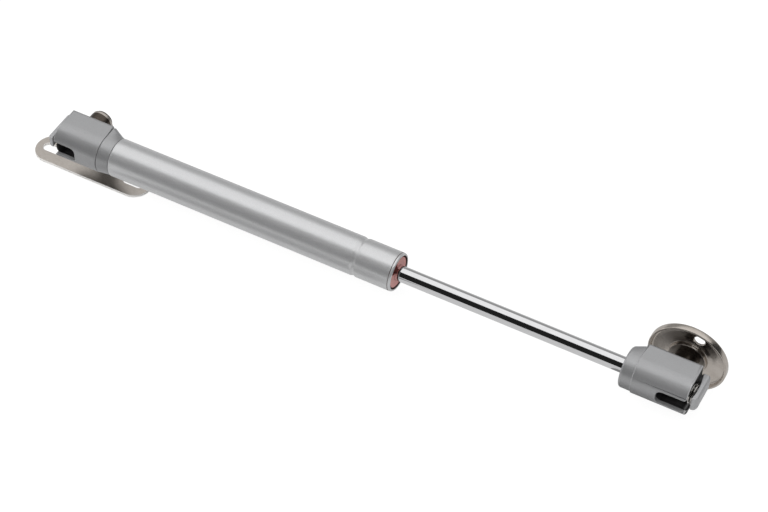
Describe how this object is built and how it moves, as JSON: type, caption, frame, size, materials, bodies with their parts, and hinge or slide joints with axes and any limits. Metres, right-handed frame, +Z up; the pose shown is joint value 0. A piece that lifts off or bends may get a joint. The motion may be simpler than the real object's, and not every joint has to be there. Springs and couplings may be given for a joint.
{
  "type": "gas strut",
  "caption": "Extended furniture gas strut with plastic push-on end sockets, a slotted door bracket with an upright ear and a round pressed wall plate.",
  "frame": {"origin": "middle of the two screw slots, on the underside of the door bracket's base plate", "axes": "+X along the strut from the door bracket to the wall plate, +Z up out of the base plate towards the strut, pivot axes along Y with the wall plate's back facing +Y"},
  "size_m": [0.2838, 0.0238, 0.0328],
  "materials": {
    "tube_metal": "satin silver lacquer over a drawn steel tube",
    "rod_chrome": "polished hard chrome",
    "steel": "turned zinc-plated steel",
    "nickel": "bright nickel plate with a warm tint",
    "spring_steel": "bright spring wire",
    "latch_plastic": "moulded light grey plastic",
    "socket_plastic": "moulded grey plastic with a slight sheen",
    "guide_plastic": "moulded red plastic",
    "piston_plastic": "moulded black plastic",
    "seal_rubber": "smooth black rubber"
  },
  "bodies": {
    "barrel": {"pressure_tube": "tube_metal", "end_plug": "steel", "plug_ring": "seal_rubber", "rod_guide": "guide_plastic", "rod_seal": "seal_rubber", "seal_backing": "steel", "transition_collar": "socket_plastic", "tube_socket": "socket_plastic", "tube_latch": "latch_plastic", "tube_spring": "spring_steel"},
    "door_mount": {"door_bracket": "nickel", "door_stud": "nickel"},
    "slider": {"piston_ring": "seal_rubber"},
    "rod": {"piston_rod": "rod_chrome", "piston": "piston_plastic", "stop_washer": "steel", "rear_washer": "steel", "rod_socket": "socket_plastic", "rod_latch": "latch_plastic", "rod_spring": "spring_steel"},
    "wall_mount": {"wall_plate": "nickel", "wall_stud": "nickel"}
  },
  "joints": [
    {"name": "door_pivot", "type": "hinge", "parent": "barrel", "child": "door_mount", "pos_m": [0, -0.005, 0.018], "axis": [0, 1, 0], "range_deg": [-15, 195]},
    {"name": "rod_slide", "type": "slide", "parent": "barrel", "child": "slider", "axis": [1, 0, 0], "range_m": [-0.085, 0], "stiffness_N_per_m": 176, "springref_m": 0.34},
    {"name": "rod_spin", "type": "hinge", "parent": "slider", "child": "rod", "pos_m": [0.2, -0.005, 0.018], "axis": [1, 0, 0], "continuous": true},
    {"name": "wall_pivot", "type": "hinge", "parent": "rod", "child": "wall_mount", "pos_m": [0.2433, -0.005, 0.018], "axis": [0, 1, 0], "continuous": true}
  ]
}
